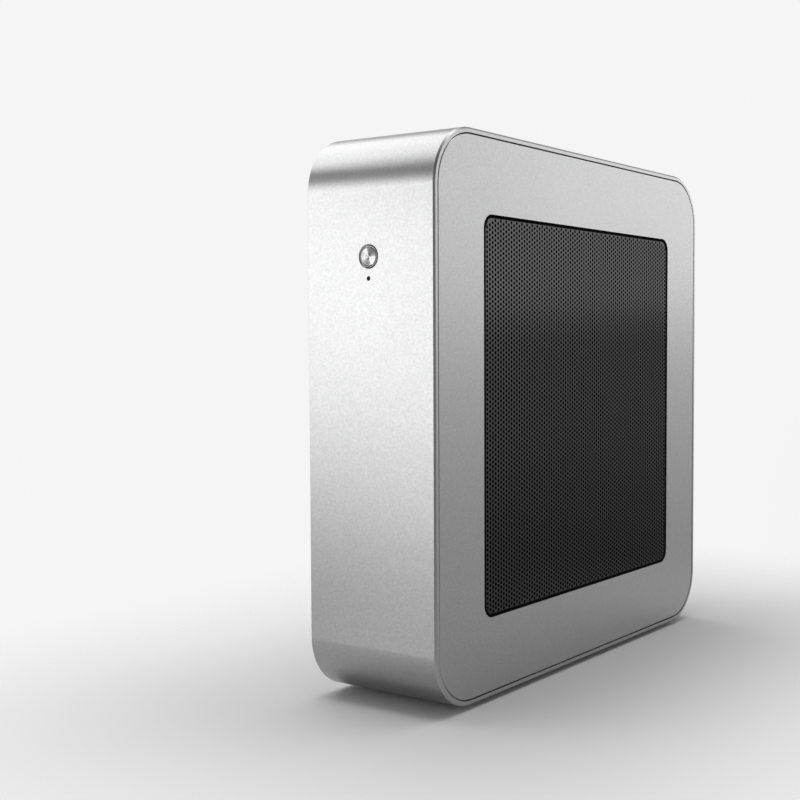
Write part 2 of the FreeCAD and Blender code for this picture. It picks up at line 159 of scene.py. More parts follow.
def feed_shader(tree, shader, colour, roughness, texture, depth, patch_size, haze):
    """Joins a texture's tone and height to a shader, with hazy patches in the roughness."""
    patches = add_node(
        tree, "ShaderNodeGroup", {"Patch size": patch_size, "Amount": haze}, node_tree=handling_haze
    )
    rough = math_node(tree, "ADD", patches.outputs["Haze"], roughness)
    bump = add_node(
        tree,
        "ShaderNodeBump",
        {"Strength": 1.0, "Distance": depth, "Height": texture.outputs["Height"]},
    )
    tree.links.new(tinted(tree, colour, texture.outputs["Tone"]), shader.inputs["Base Color"])
    tree.links.new(rough, shader.inputs["Roughness"])
    tree.links.new(bump.outputs["Normal"], shader.inputs["Normal"])


def grained_material(name, colour, metallic, roughness, grain, contrast, depth, haze):
    """A finish with fine grain in its colour and bump."""
    material, tree, shader = new_material(name)
    grains = add_node(
        tree, "ShaderNodeGroup", {"Grain size": grain, "Contrast": contrast}, node_tree=surface_grain
    )
    feed_shader(tree, shader, colour, roughness, grains, depth, patch_size=60 * MM, haze=haze)
    shader.inputs["Metallic"].default_value = metallic
    return material


def smooth_copy(node, name, material):
    """A copy of a solid's mesh with its triangles joined, so that bends run smoothly into flat faces."""
    build = bmesh.new()
    build.from_mesh(bpy.data.objects[node].data)
    bmesh.ops.remove_doubles(build, verts=build.verts, dist=JOIN_REACH)
    build.verts.index_update()
    points = [vertex.co.copy() for vertex in build.verts]
    faces = [[vertex.index for vertex in face.verts] for face in build.faces]
    build.free()
    source = bpy.data.meshes.new(name + "_joined")
    source.from_pydata(points, [], faces)
    source.materials.append(material)
    source.shade_smooth()
    source.set_sharp_from_angle(angle=SHARP_BEND)
    scratch = bpy.data.objects.new(name + "_scratch", source)
    bpy.context.scene.collection.objects.link(scratch)
    weighted = scratch.modifiers.new("weighted", "WEIGHTED_NORMAL")
    weighted.mode = "FACE_AREA"
    weighted.keep_sharp = True
    evaluated = scratch.evaluated_get(bpy.context.evaluated_depsgraph_get())
    mesh = bpy.data.meshes.new_from_object(evaluated)
    bpy.data.objects.remove(scratch)
    mesh.name = name
    piece = bpy.data.objects.new(name, mesh)
    bpy.context.scene.collection.objects.link(piece)
    return piece


blasted_aluminium = grained_material(
    "blasted_aluminium",
    colour=(0.41, 0.41, 0.413),
    metallic=1.0,
    roughness=0.33,
    grain=0.8 * MM,
    contrast=0.28,
    depth=0.010 * MM,
    haze=0.04,
)
ring = smooth_copy("shell", "case_ring", blasted_aluminium)
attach(ring, "case")
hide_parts("shell")

# Plain panel: a flat aluminium plate set flush in the left side, finished like the shell.
# It carries the board and is screwed to the bosses in the shell's corners.
plain_panel = smooth_copy("left_panel", "plain_panel", blasted_aluminium)
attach(plain_panel, "case")
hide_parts("left_panel")

# Panel screws: four countersunk socket screws of zinc-plated steel, one in each corner of the plain panel.
# They are cold-headed and the threads are rolled; only the heads and their hexagon sockets show.
HEAD_RADIUS = 3.45
SOCKET_DEPTH = 1.2
SOCKET_HALF = 1.25
MOUTH_CHAMFER = 0.12
HEAD_HEIGHT = 2.0
SHANK_RADIUS = 1.45
SCREW_LENGTH = 10.0
TIP_CHAMFER = 0.4
ROUND = 0
HEXAGON = 6


def make_lines_group():
    """Lines left by drawing or grinding: noise drawn out along one axis, as a tone and a height."""
    tree, given, result = new_group(
        "drawn_lines",
        "ShaderNodeTree",
        [("Density", "NodeSocketVector"), ("Contrast", "NodeSocketFloat")],
        [("Tone", "NodeSocketFloat"), ("Height", "NodeSocketFloat")],
    )
    place = add_node(tree, "ShaderNodeTexCoord").outputs["Object"]
    drawn = add_node(tree, "ShaderNodeVectorMath", {0: place, 1: given["Density"]}, operation="MULTIPLY")
    noise = add_node(
        tree, "ShaderNodeTexNoise", {"Vector": drawn.outputs[0], "Scale": 1.0, "Detail": 2.0}
    )
    centred = math_node(tree, "SUBTRACT", noise.outputs["Fac"], 0.5)
    tone = math_node(tree, "MULTIPLY_ADD", centred, given["Contrast"], 1.0)
    tree.links.new(tone, result.inputs["Tone"])
    tree.links.new(noise.outputs["Fac"], result.inputs["Height"])
    return tree


drawn_lines = make_lines_group()


def lined_material(name, colour, roughness, density, contrast, depth):
    """A bare or plated metal with fine lines; density is the count of lines per metre on each axis."""
    material, tree, shader = new_material(name)
    lines = add_node(
        tree, "ShaderNodeGroup", {"Density": density, "Contrast": contrast}, node_tree=drawn_lines
    )
    feed_shader(tree, shader, colour, roughness, lines, depth, patch_size=4 * MM, haze=0.12)
    shader.inputs["Metallic"].default_value = 1.0
    return material


def loft(name, loops, sharp_angle):
    """A closed mesh through loops of points; a loop of one point closes an end.

    Where the first loop is no point, the last loop is joined to it.
    """
    count = max(len(points) for points in loops)
    vertices = []
    rings = []
    for points in loops:
        start = len(vertices)
        vertices.extend(points)
        rings.append([start + k % len(points) for k in range(count)])
    if len(loops[0]) > 1:
        rings.append(rings[0])
    faces = []
    for near, following in zip(rings, rings[1:]):
        for k in range(count):
            after = (k + 1) % count
            corners = [near[k], near[after], following[after], following[k]]
            faces.append(list(dict.fromkeys(corners)))
    mesh = bpy.data.meshes.new(name)
    mesh.from_pydata(vertices, [], faces)
    build = bmesh.new()
    build.from_mesh(mesh)
    bmesh.ops.recalc_face_normals(build, faces=build.faces)
    build.to_mesh(mesh)
    build.free()
    mesh.shade_smooth()
    mesh.set_sharp_from_angle(angle=math.radians(sharp_angle))
    return mesh


def turned_loop(height, radius, sides=0, count=48):
    """Points round Z: a circle, or a regular polygon whose radius is half its width across flats."""
    if radius == 0:
        return [(0, 0, height * MM)]
    points = []
    for k in range(count):
        angle = 2 * math.pi * k / count
        reach = radius * MM
        if sides:
            half = math.pi / sides
            reach /= math.cos(angle % (2 * half) - half)
        points.append((reach * math.cos(angle), reach * math.sin(angle), height * MM))
    return points


def make_places_tree():
    """Sets one piece at every point of the modified mesh and gives the pieces their finish."""
    tree, given, result = new_group(
        "set_in_places",
        "GeometryNodeTree",
        [
            ("Places", "NodeSocketGeometry"),
            ("Piece", "NodeSocketObject"),
            ("Finish", "NodeSocketMaterial"),
        ],
        [("Geometry", "NodeSocketGeometry")],
    )
    piece = add_node(tree, "GeometryNodeObjectInfo", {"Object": given["Piece"]})
    points = add_node(tree, "GeometryNodeMeshToPoints", {"Mesh": given["Places"]})
    placed = add_node(
        tree,
        "GeometryNodeInstanceOnPoints",
        {"Points": points.outputs["Points"], "Instance": piece.outputs["Geometry"]},
    )
    real = add_node(tree, "GeometryNodeRealizeInstances", {"Geometry": placed.outputs["Instances"]})
    finished = add_node(
        tree,
        "GeometryNodeSetMaterial",
        {"Geometry": real.outputs["Geometry"], "Material": given["Finish"]},
    )
    tree.links.new(finished.outputs["Geometry"], result.inputs["Geometry"])
    return tree


set_in_places = make_places_tree()


def run_tree(name, mesh, tree, values):
    """Runs a node tree on a mesh with the given input values, and returns the result as a plain object."""
    scratch = bpy.data.objects.new(name + "_scratch", mesh)
    bpy.context.scene.collection.objects.link(scratch)
    modifier = scratch.modifiers.new(name, "NODES")
    modifier.node_group = tree
    for item in tree.interface.items_tree:
        if item.in_out == "INPUT" and item.name in values:
            modifier[item.identifier] = values[item.name]
    evaluated = scratch.evaluated_get(bpy.context.evaluated_depsgraph_get())
    finished = bpy.data.meshes.new_from_object(evaluated)
    scratch.modifiers.remove(modifier)
    bpy.data.objects.remove(scratch)
    finished.name = name
    piece = bpy.data.objects.new(name, finished)
    bpy.context.scene.collection.objects.link(piece)
    return piece


def repeat_piece(name, piece_mesh, places, finish):
    """The same piece at several places, in one mesh."""
    points = bpy.data.meshes.new(name + "_places")
    points.from_pydata(places, [], [])
    pattern = bpy.data.objects.new(name + "_pattern", piece_mesh)
    bpy.context.scene.collection.objects.link(pattern)
    result = run_tree(name, points, set_in_places, {"Piece": pattern, "Finish": finish})
    bpy.data.objects.remove(pattern)
    return result


zinc_steel = lined_material(
    "zinc_steel",
    colour=(0.42, 0.43, 0.45),
    roughness=0.30,
    density=(900, 900, 900),
    contrast=0.30,
    depth=0.01 * MM,
)
# Depth, radius and sides of each step, from the socket's floor over the head to the tip.
SCREW_PROFILE = [
    (SOCKET_DEPTH, 0, ROUND),
    (SOCKET_DEPTH, SOCKET_HALF, HEXAGON),
    (MOUTH_CHAMFER, SOCKET_HALF, HEXAGON),
    (0.0, SOCKET_HALF + 0.11, HEXAGON),
    (0.0, HEAD_RADIUS - 0.16, ROUND),
    (0.04, HEAD_RADIUS - 0.05, ROUND),
    (0.12, HEAD_RADIUS - 0.12, ROUND),
    (HEAD_HEIGHT, SHANK_RADIUS, ROUND),
    (SCREW_LENGTH - TIP_CHAMFER, SHANK_RADIUS, ROUND),
    (SCREW_LENGTH, SHANK_RADIUS - 0.35, ROUND),
    (SCREW_LENGTH, 0, ROUND),
]
screw_loops = [turned_loop(height, radius, sides) for height, radius, sides in SCREW_PROFILE]
screw_mesh = loft("screw", screw_loops, sharp_angle=28)
ALONG_X = Matrix.Rotation(math.radians(90), 4, "Y")
screw_mesh.transform(ALONG_X)
low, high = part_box("tray_screws")
screw_inset = HEAD_RADIUS * MM
screw_places = [
    (low[0], y, z)
    for y in (low[1] + screw_inset, high[1] - screw_inset)
    for z in (low[2] + screw_inset, high[2] - screw_inset)
]
screws = repeat_piece("panel_screws", screw_mesh, screw_places, zinc_steel)
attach(screws, "case")
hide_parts("tray_screws")

# Standoffs: four hexagonal brass pillars clinched into the plain panel, with tapped bores.
# They carry the board on its standard hole pattern and show the lines of the drawn bar.
PILLAR_HALF = 2.5
PILLAR_HEIGHT = 6.35
PILLAR_CHAMFER = 0.3
BORE_RADIUS = 1.25
BORE_CHAMFER = 0.25
brass = lined_material(
    "drawn_brass",
    colour=(0.62, 0.42, 0.17),
    roughness=0.27,
    density=(60, 2600, 2600),
    contrast=0.35,
    depth=0.006 * MM,
)
# Height, radius and sides of each step, from the foot of the bore up the outside and back into the bore.
PILLAR_PROFILE = [
    (0.0, BORE_RADIUS, ROUND),
    (0.0, PILLAR_HALF, HEXAGON),
    (PILLAR_HEIGHT - PILLAR_CHAMFER, PILLAR_HALF, HEXAGON),
    (PILLAR_HEIGHT, PILLAR_HALF - 0.05, ROUND),
    (PILLAR_HEIGHT, BORE_RADIUS + BORE_CHAMFER, ROUND),
    (PILLAR_HEIGHT - BORE_CHAMFER, BORE_RADIUS, ROUND),
]
pillar_loops = [turned_loop(height, radius, sides) for height, radius, sides in PILLAR_PROFILE]
pillar_mesh = loft("standoff", pillar_loops, sharp_angle=24)
pillar_mesh.transform(ALONG_X)
standoff_nodes = [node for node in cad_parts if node.startswith("standoff_")]
standoff_places = []
for node in standoff_nodes:
    low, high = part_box(node)
    standoff_places.append((low[0], (low[1] + high[1]) / 2, (low[2] + high[2]) / 2))
standoffs = repeat_piece("board_standoffs", pillar_mesh, standoff_places, brass)
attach(standoffs, "case")
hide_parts(*standoff_nodes)

# Switch board: a strip of glass-epoxy circuit board held by its edges in two rails of the shell.
# Solder resist covers copper tracks; the switch, the light and the header are soldered to it.
RESIST_TONE = (0.012, 0.075, 0.035)
TRACK_TONE = (0.03, 0.16, 0.075)
TRACKS_PER_METRE = 420.0
TRACK_HEIGHT = 0.03 * MM


def ramp(tree, value, start, end, first, last, shape="LINEAR"):
    """Maps a value that runs from start to end to one that runs from first to last, and holds the ends."""
    inputs = {"Value": value, "From Min": start, "From Max": end, "To Min": first, "To Max": last}
    return add_node(tree, "ShaderNodeMapRange", inputs, interpolation_type=shape).outputs["Result"]


def make_resist():
    """Green resist, raised and paler where a copper track runs under it."""
    material, tree, shader = new_material("solder_resist")
    place = add_node(tree, "ShaderNodeTexCoord").outputs["Object"]
    cells = add_node(
        tree,
        "ShaderNodeTexVoronoi",
        {"Vector": place, "Scale": TRACKS_PER_METRE, "Randomness": 0.35},
        feature="DISTANCE_TO_EDGE",
        distance="MANHATTAN",
    )
    track = ramp(tree, cells.outputs["Distance"], start=0.06, end=0.11, first=1.0, last=0.0)
    coppered = add_node(
        tree,
        "ShaderNodeMix",
        {"Factor": track, 6: (*RESIST_TONE, 1.0), 7: (*TRACK_TONE, 1.0)},
        data_type="RGBA",
    )
    bump = add_node(tree, "ShaderNodeBump", {"Strength": 1.0, "Distance": TRACK_HEIGHT, "Height": track})
    tree.links.new(coppered.outputs[2], shader.inputs["Base Color"])
    tree.links.new(bump.outputs["Normal"], shader.inputs["Normal"])
    shader.inputs["Roughness"].default_value = 0.28
    return material


def dress(node, material):
    """Gives a carried-over solid its finish."""
    for slot in bpy.data.objects[node].material_slots:
        slot.material = material


dress("switch_board", make_resist())

# Switch, header and light: moulded black and pale plastic with plated pins, soldered to that board.
# The light shines through a short smoked pipe that fills its hole in the front.


def set_shader(material, socket, value):
    """Sets one plain value on a finish's shader."""
    material.node_tree.nodes["Principled BSDF"].inputs[socket].default_value = value


black_plastic = grained_material(
    "black_plastic",
    colour=(0.02, 0.02, 0.021),
    metallic=0.0,
    roughness=0.42,
    grain=0.3 * MM,
    contrast=0.3,
    depth=0.012 * MM,
    haze=0.08,
)
white_nylon = grained_material(
    "white_nylon",
    colour=(0.68, 0.66, 0.6),
    metallic=0.0,
    roughness=0.45,
    grain=0.35 * MM,
    contrast=0.05,
    depth=0.01 * MM,
    haze=0.08,
)
nickel_plate = lined_material(
    "nickel_plate",
    colour=(0.55, 0.53, 0.48),
    roughness=0.22,
    density=(1500, 300, 1500),
    contrast=0.2,
    depth=0.004 * MM,
)
smoked_pipe = grained_material(
    "smoked_pipe",
    colour=(0.003, 0.003, 0.003),
    metallic=0.0,
    roughness=0.4,
    grain=0.3 * MM,
    contrast=0.3,
    depth=0.002 * MM,
    haze=0.05,
)
set_shader(smoked_pipe, "Specular IOR Level", 0.12)
dress("tact_switch", black_plastic)
dress("tact_plunger", black_plastic)
dress("switch_header", white_nylon)
dress("light_chip", white_nylon)
dress("header_pins", nickel_plate)
dress("light_pipe", smoked_pipe)

# Power button: a turned aluminium cap, flush in its bevelled hole, with a stop flange and a stem.
# The lathe tool left fine rings whose flanks lean outward, so light lies on the face in wedges.
SPUN_TONE = (0.55, 0.55, 0.56)
RING_PITCH = 0.12 * MM
CHATTER_LOW = 0.3
CHATTER_HIGH = 0.7
LEAST_LEAN = 0.18
MOST_LEAN = 0.30
DULL_RING = 0.9
BRIGHT_RING = 1.05
DISH_DEPTH = 0.10
CAP_RADIUS = 4.0
CAP_EDGE = 0.2
FLANGE_FRONT = 2.1
FLANGE_BACK = 3.1
FLANGE_RADIUS = 5.3
STEM_END = 4.6
STEM_RADIUS = 1.7
CAP_STEPS = 96
low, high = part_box("button_cap")
button_middle = (0, low[1], (low[2] + high[2]) / 2)


def vector_node(tree, operation, first, second=(0.0, 0.0, 0.0)):
    """One step of arithmetic on vectors; returns the socket of its result."""
    node = add_node(tree, "ShaderNodeVectorMath", {0: first, 1: second}, operation=operation)
    return node.outputs["Value" if operation in ("LENGTH", "DOT_PRODUCT") else "Vector"]


def make_spun_finish():
    """Bare metal whose normals lean away from the button's axis, by more or less from ring to ring."""
    material, tree, shader = new_material("spun_aluminium")
    place = add_node(tree, "ShaderNodeTexCoord").outputs["Object"]
    from_middle = vector_node(tree, "SUBTRACT", place, button_middle)
    from_axis = vector_node(tree, "MULTIPLY", from_middle, (1, 0, 1))
    across = vector_node(tree, "LENGTH", from_axis)
    outward = vector_node(tree, "NORMALIZE", from_axis)
    chatter = add_node(
        tree,
        "ShaderNodeTexNoise",
        {"W": across, "Scale": 1 / RING_PITCH, "Detail": 2.0},
        noise_dimensions="1D",
    ).outputs["Fac"]
    lean = ramp(tree, chatter, CHATTER_LOW, CHATTER_HIGH, LEAST_LEAN, MOST_LEAN)
    leaning = add_node(tree, "ShaderNodeVectorMath", {0: outward, "Scale": lean}, operation="SCALE")
    in_world = add_node(
        tree,
        "ShaderNodeVectorTransform",
        {"Vector": leaning.outputs[0]},
        vector_type="VECTOR",
        convert_from="OBJECT",
        convert_to="WORLD",
    )
    facing = add_node(tree, "ShaderNodeNewGeometry").outputs["Normal"]
    flank = vector_node(tree, "NORMALIZE", vector_node(tree, "ADD", facing, in_world.outputs[0]))
    tone = ramp(tree, chatter, CHATTER_LOW, CHATTER_HIGH, DULL_RING, BRIGHT_RING)
    tree.links.new(tinted(tree, SPUN_TONE, tone), shader.inputs["Base Color"])
    tree.links.new(flank, shader.inputs["Normal"])
    shader.inputs["Metallic"].default_value = 1.0
    shader.inputs["Roughness"].default_value = 0.16
    return material


# Depth and radius of each step, from the middle of the dished face to the end of the stem.
CAP_PROFILE = [
    (DISH_DEPTH, 0),
    (DISH_DEPTH, 0.25),
    (0.085, 1.2),
    (0.05, 2.2),
    (0.012, 3.2),
    (0.0, 3.62),
    (0.02, 3.80),
    (0.08, 3.93),
    (CAP_EDGE, CAP_RADIUS),
    (FLANGE_FRONT, CAP_RADIUS),
    (FLANGE_FRONT, FLANGE_RADIUS),
    (FLANGE_BACK, FLANGE_RADIUS),
    (FLANGE_BACK, STEM_RADIUS),
    (STEM_END, STEM_RADIUS),
    (STEM_END, 0),
]
cap_loops = [turned_loop(height, radius, count=CAP_STEPS) for height, radius in CAP_PROFILE]
cap_mesh = loft("power_cap", cap_loops, sharp_angle=35)
cap_mesh.transform(Matrix.Translation(button_middle) @ Matrix.Rotation(math.radians(-90), 4, "X"))
cap_mesh.materials.append(make_spun_finish())
cap = bpy.data.objects.new("power_cap", cap_mesh)
bpy.context.scene.collection.objects.link(cap)
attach(cap, "power_button")
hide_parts("button_cap")

# Power inlet: a black moulded barrel socket let into the rear wall, with a plated centre pin.
# A plated nut holds it from inside the shell.
dress("inlet_body", black_plastic)
dress("inlet_pin", nickel_plate)
dress("inlet_nut", nickel_plate)

# Vented panel: a flat aluminium plate with one square opening, finished like the shell.
# Steel keys bonded behind it drop into the corner bosses, where bar magnets hold them.
vented_panel = smooth_copy("right_panel", "vented_panel", blasted_aluminium)
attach(vented_panel, "side_panel")
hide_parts("right_panel")
dress("panel_keys", zinc_steel)
dress("panel_magnets", nickel_plate)

# Grille: a steel sheet pressed up into the opening and bonded behind the vented panel by its flange.
# It is punched with small six-sided holes, each column half a step from the next, and coated black.
# The pressed rim round the holes is painted matt near-black, duller than the perforated face: painted
# shade that stands in for the shadow gap round the vent.
FLANGE_CORNER = 14.5
FLANGE_DEPTH = 1.7
RIM_BACK = 2.7
RIM_LAP = 0.2
RIM_WALL_LAP = 0.1
RIM_EDGE = 0.06
CORNER_STEPS = 12
SHEET_WIDTH = 153.6
SHEET_EDGE = 3.8
SHEET_TALLER = 0.3
SHEET_THICKNESS = 1.0
HOLE_COLUMNS = 81
HOLE_WIDTH = 1.24
HOLE_BORDER = 0.05
WELD_REACH = 0.002 * MM
low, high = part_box("grille")
grille_face = high[0]
grille_middle = (low[2] + high[2]) / 2
corner_centre = high[1] - FLANGE_CORNER * MM


def pressed_loop(depth, spread, taller):
    """Points round the opening at a depth behind the face; spread is the radius of the corners."""
    points = []
    for quarter in range(4):
        toward_y = 1 if quarter in (0, 3) else -1
        toward_z = 1 if quarter < 2 else -1
        for step in range(CORNER_STEPS + 1):
            angle = math.radians(90 * (quarter + step / CORNER_STEPS))
            y = toward_y * corner_centre + spread * MM * math.cos(angle)
            z = toward_z * (corner_centre + taller * MM) + spread * MM * math.sin(angle)
            points.append((grille_face - depth * MM, y, grille_middle + z))
    return points


def hole_outlines(tree, given, place, straight, upright):
    """A hexagon at each point of a staggered grid that lies well inside the rounded sheet."""
    calc = partial(math_node, tree)
    count = given["Columns"]
    pitch = given["Pitch"]
    size = calc("SUBTRACT", calc("MULTIPLY", count, pitch), pitch)
    grid = add_node(
        tree,
        "GeometryNodeMeshGrid",
        {"Size X": size, "Size Y": size, "Vertices X": count, "Vertices Y": count},
    )
    index = add_node(tree, "GeometryNodeInputIndex").outputs["Index"]
    column = calc("FLOOR", calc("DIVIDE", index, count))
    odd = calc("SUBTRACT", calc("MODULO", column, 2.0), 0.5)
    shift = calc("MULTIPLY", calc("MULTIPLY", odd, pitch), 0.5)
    offset = add_node(tree, "ShaderNodeCombineXYZ", {"Y": shift}).outputs[0]
    staggered = add_node(
        tree, "GeometryNodeSetPosition", {"Geometry": grid.outputs["Mesh"], "Offset": offset}
    )
    corner = add_node(tree, "ShaderNodeCombineXYZ", {"X": straight, "Y": upright}).outputs[0]
    past = vector_node(tree, "SUBTRACT", vector_node(tree, "ABSOLUTE", place), corner)
    rounded = vector_node(tree, "LENGTH", vector_node(tree, "MAXIMUM", past))
    axes = add_node(tree, "ShaderNodeSeparateXYZ", {0: past}).outputs
    inner = calc("MINIMUM", calc("MAXIMUM", axes["X"], axes["Y"]), 0.0)
    beyond = calc("SUBTRACT", calc("ADD", rounded, inner), given["Corner"])
    inset = calc("ADD", calc("MULTIPLY", given["Hole width"], 0.5), given["Border"])
    cut_off = calc("GREATER_THAN", calc("ADD", beyond, inset), 0.0)
    kept = add_node(
        tree,
        "GeometryNodeDeleteGeometry",
        {"Geometry": staggered.outputs["Geometry"], "Selection": cut_off},
        domain="POINT",
    )
    corner_radius = calc("DIVIDE", given["Hole width"], math.sqrt(3))
    hole = add_node(
        tree, "GeometryNodeCurvePrimitiveCircle", {"Resolution": HEXAGON, "Radius": corner_radius}
    )
    holes = add_node(
        tree,
        "GeometryNodeInstanceOnPoints",
        {"Points": kept.outputs["Geometry"], "Instance": hole.outputs["Curve"]},
    )
    cut_lines = add_node(tree, "GeometryNodeRealizeInstances", {"Geometry": holes.outputs["Instances"]})
    return cut_lines.outputs["Geometry"]


def strip_outlines(tree, given, along, straight, upright):
    """The sheet's outline parted into upright strips, one for each column of holes."""
    calc = partial(math_node, tree)
    width = calc("MULTIPLY", given["Columns"], given["Pitch"])
    strips = add_node(
        tree,
        "GeometryNodeMeshGrid",
        {
            "Size X": width,
            "Size Y": width,
            "Vertices X": calc("ADD", given["Columns"], 1.0),
            "Vertices Y": 2,
        },
    )
    into_corner = calc("MAXIMUM", calc("SUBTRACT", calc("ABSOLUTE", along["X"]), straight))
    squared = calc(
        "SUBTRACT",
        calc("MULTIPLY", given["Corner"], given["Corner"]),
        calc("MULTIPLY", into_corner, into_corner),
    )
    strip_end = calc("ADD", upright, calc("SQRT", calc("MAXIMUM", squared)))
    strip_place = add_node(
        tree,
        "ShaderNodeCombineXYZ",
        {"X": along["X"], "Y": calc("MULTIPLY", calc("SIGN", along["Y"]), strip_end)},
    ).outputs[0]
    trimmed = add_node(
        tree, "GeometryNodeSetPosition", {"Geometry": strips.outputs["Mesh"], "Position": strip_place}
    )
    parted = add_node(tree, "GeometryNodeSplitEdges", {"Mesh": trimmed.outputs["Geometry"]})
    outlines = add_node(tree, "GeometryNodeMeshToCurve", {"Mesh": parted.outputs["Mesh"]})
    return outlines.outputs["Curve"]


def join_geometry(tree, *parts):
    """Several geometries as one."""
    joined = tree.nodes.new("GeometryNodeJoinGeometry")
    for part in parts:
        tree.links.new(part, joined.inputs[0])
    return joined.outputs[0]


def thickened(tree, flat, thickness):
    """A flat sheet raised by its thickness, closed underneath and welded."""
    up = add_node(tree, "ShaderNodeCombineXYZ", {"Z": thickness}).outputs[0]
    raised = add_node(
        tree,
        "GeometryNodeExtrudeMesh",
        {"Mesh": flat, "Offset": up, "Offset Scale": 1.0, "Individual": False},
        mode="FACES",
    )
    under = add_node(tree, "GeometryNodeFlipFaces", {"Mesh": flat})
    sheet = join_geometry(tree, raised.outputs["Mesh"], under.outputs["Mesh"])
    closed = add_node(tree, "GeometryNodeMergeByDistance", {"Geometry": sheet, "Distance": WELD_REACH})
    return closed.outputs["Geometry"]


def make_perforation_tree():
    """Adds a flat sheet with staggered six-sided holes to the pressed rim that it fills."""
    tree, given, result = new_group(
        "perforated_sheet",
        "GeometryNodeTree",
        [
            ("Rim", "NodeSocketGeometry"),
            ("Columns", "NodeSocketInt"),
            ("Corner", "NodeSocketFloat"),
            ("Taller", "NodeSocketFloat"),
            ("Pitch", "NodeSocketFloat"),
            ("Hole width", "NodeSocketFloat"),
            ("Border", "NodeSocketFloat"),
            ("Thickness", "NodeSocketFloat"),
            ("Back", "NodeSocketVector"),
            ("Finish", "NodeSocketMaterial"),
            ("Rim painted shade", "NodeSocketMaterial"),
        ],
        [("Geometry", "NodeSocketGeometry")],
    )
    calc = partial(math_node, tree)
    reach = calc("MULTIPLY", calc("MULTIPLY", given["Columns"], given["Pitch"]), 0.5)
    straight = calc("SUBTRACT", reach, given["Corner"])
    upright = calc("ADD", straight, given["Taller"])
    place = add_node(tree, "GeometryNodeInputPosition").outputs["Position"]
    along = add_node(tree, "ShaderNodeSeparateXYZ", {0: place}).outputs
    strips = strip_outlines(tree, given, along, straight, upright)
    holes = hole_outlines(tree, given, place, straight, upright)
    strip_number = calc("FLOOR", calc("DIVIDE", calc("ADD", along["X"], reach), given["Pitch"]))
    filled = add_node(
        tree,
        "GeometryNodeFillCurve",
        {"Curve": join_geometry(tree, strips, holes), "Group ID": strip_number},
        mode="TRIANGLES",
    )
    flat = add_node(
        tree, "GeometryNodeMergeByDistance", {"Geometry": filled.outputs["Mesh"], "Distance": WELD_REACH}
    )
    stood = add_node(
        tree,
        "GeometryNodeTransform",
        {
            "Geometry": thickened(tree, flat.outputs["Geometry"], given["Thickness"]),
            "Translation": given["Back"],
            "Rotation": (math.radians(90), 0, math.radians(90)),
        },
    )
    both = join_geometry(tree, stood.outputs["Geometry"], given["Rim"])
    real = add_node(tree, "GeometryNodeRealizeInstances", {"Geometry": both})
    coated = add_node(
        tree,
        "GeometryNodeSetMaterial",
        {"Geometry": real.outputs["Geometry"], "Material": given["Finish"]},
    )
    # The rim faces get the near-black painted shade that stands in for the shadow gap round the vent.
    rim_faces = add_node(
        tree, "GeometryNodeInputNamedAttribute", {"Name": "on_rim"}, data_type="BOOLEAN"
    )
    finished = add_node(
        tree,
        "GeometryNodeSetMaterial",
        {
            "Geometry": coated.outputs["Geometry"],
            "Selection": rim_faces.outputs["Attribute"],
            "Material": given["Rim painted shade"],
        },
    )
    tree.links.new(finished.outputs["Geometry"], result.inputs["Geometry"])
    return tree


black_paint = grained_material(
    "black_paint",
    colour=(0.066, 0.066, 0.066),
    metallic=1.0,
    roughness=0.13,
    grain=0.25 * MM,
    contrast=0.3,
    depth=0.01 * MM,
    haze=0.06,
)
set_shader(black_paint, "Specular Tint", (0.55, 0.55, 0.55, 1.0))
# Painted shade: near-black, matt and with little specular, so that the rim reads as the shadow in the gap
# round the vent.
rim_painted_shade = grained_material(
    "rim_painted_shade",
    colour=(0.004, 0.004, 0.004),
    metallic=0.0,
    roughness=0.75,
    grain=0.25 * MM,
    contrast=0.3,
    depth=0.01 * MM,
    haze=0.06,
)
set_shader(rim_painted_shade, "Specular IOR Level", 0.08)
# Depth, corner radius and added height of each step, from the flange's back over the bend to the sheet.
RIM_PROFILE = [
    (RIM_BACK, FLANGE_CORNER, 0.0),
    (FLANGE_DEPTH, FLANGE_CORNER, 0.0),
    (FLANGE_DEPTH, 5.0, 0.0),
    (1.62, 4.8, 0.0),
    (1.45, 4.7, 0.0),
    (0.8, 4.66, 0.05),
    (0.42, 4.5, 0.12),
    (0.13, 4.22, 0.2),
    (0.0, SHEET_EDGE + 0.15, SHEET_TALLER),
    (0.0, SHEET_EDGE, SHEET_TALLER),
    (RIM_EDGE, SHEET_EDGE - RIM_LAP, SHEET_TALLER),
    (SHEET_THICKNESS - RIM_EDGE, SHEET_EDGE - RIM_LAP, SHEET_TALLER),
    (SHEET_THICKNESS, SHEET_EDGE - RIM_WALL_LAP, SHEET_TALLER),
    (RIM_BACK, SHEET_EDGE - RIM_WALL_LAP, SHEET_TALLER),
]
rim_loops = [pressed_loop(depth, spread, taller) for depth, spread, taller in RIM_PROFILE]
rim_mesh = loft("pressed_rim", rim_loops, sharp_angle=30)
on_rim = rim_mesh.attributes.new("on_rim", "BOOLEAN", "FACE")
on_rim.data.foreach_set("value", [True] * len(rim_mesh.polygons))
sheet_sizes = {
    "Columns": HOLE_COLUMNS,
    "Corner": SHEET_EDGE * MM,
    "Taller": SHEET_TALLER * MM,
    "Pitch": SHEET_WIDTH / HOLE_COLUMNS * MM,
    "Hole width": HOLE_WIDTH * MM,
    "Border": HOLE_BORDER * MM,
    "Thickness": SHEET_THICKNESS * MM,
    "Back": (grille_face - SHEET_THICKNESS * MM, 0.0, grille_middle),
    "Finish": black_paint,
    "Rim painted shade": rim_painted_shade,
}
grille = run_tree("grille_sheet", rim_mesh, make_perforation_tree(), sheet_sizes)
grille.data.attributes.remove(grille.data.attributes["on_rim"])
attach(grille, "side_panel")
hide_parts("grille")

